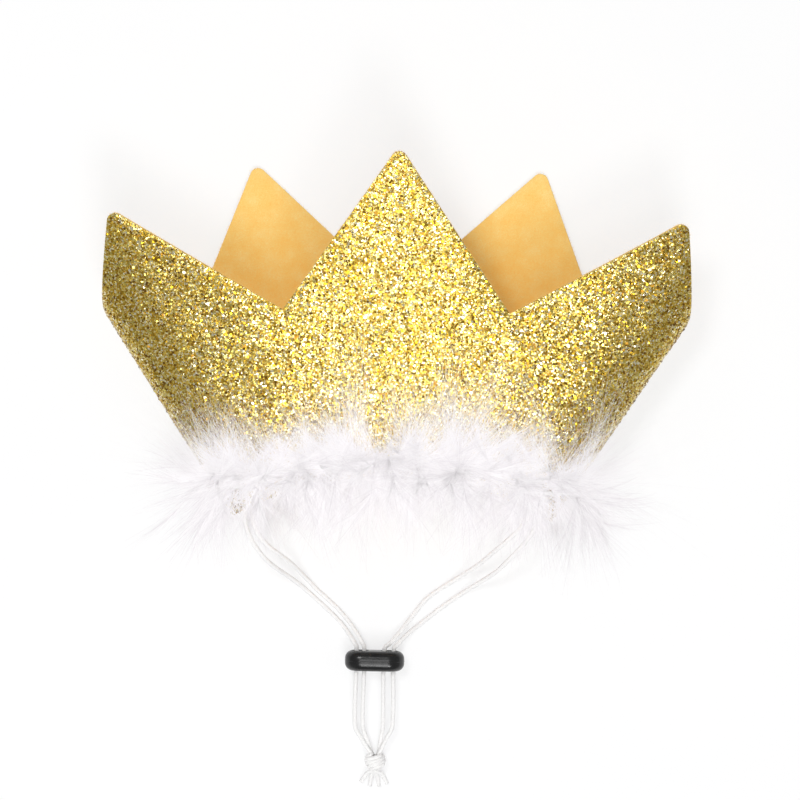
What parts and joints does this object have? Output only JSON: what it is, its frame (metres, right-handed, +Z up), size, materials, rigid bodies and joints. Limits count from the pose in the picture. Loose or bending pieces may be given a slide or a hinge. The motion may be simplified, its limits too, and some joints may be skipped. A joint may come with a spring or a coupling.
{
  "type": "pet party crown with feather trim",
  "caption": "Conical party crown of glitter sheet lined with felt, with a marabou feather trim round its base and elastic chin cords drawn through a sliding cord lock.",
  "frame": {"origin": "middle of the crown's own box, on the floor that it lies on", "axes": "+X across the crown, +Y from the base edge towards the points, +Z up from the floor"},
  "size_m": [0.1946, 0.2113, 0.0509],
  "materials": {
    "gold_glitter_sheet": "loose gold glitter flakes bonded to a thin sheet",
    "yellow_felt": "pressed felt with a short nap",
    "white_marabou": "soft white down feathers",
    "white_elastic": "braided round elastic",
    "black_plastic": "polished moulded plastic"
  },
  "bodies": {
    "crown": {"glitter_shell": "gold_glitter_sheet", "felt_lining": "yellow_felt", "feather_trim": "white_marabou", "left_elastic": "white_elastic", "right_elastic": "white_elastic", "tail_knot": "white_elastic"},
    "lock": {"cord_lock": "black_plastic"}
  },
  "joints": [
    {"name": "cord_lock_slide", "type": "slide", "parent": "crown", "child": "lock", "axis": [0, -1, 0], "range_m": [0, 0.017]}
  ]
}
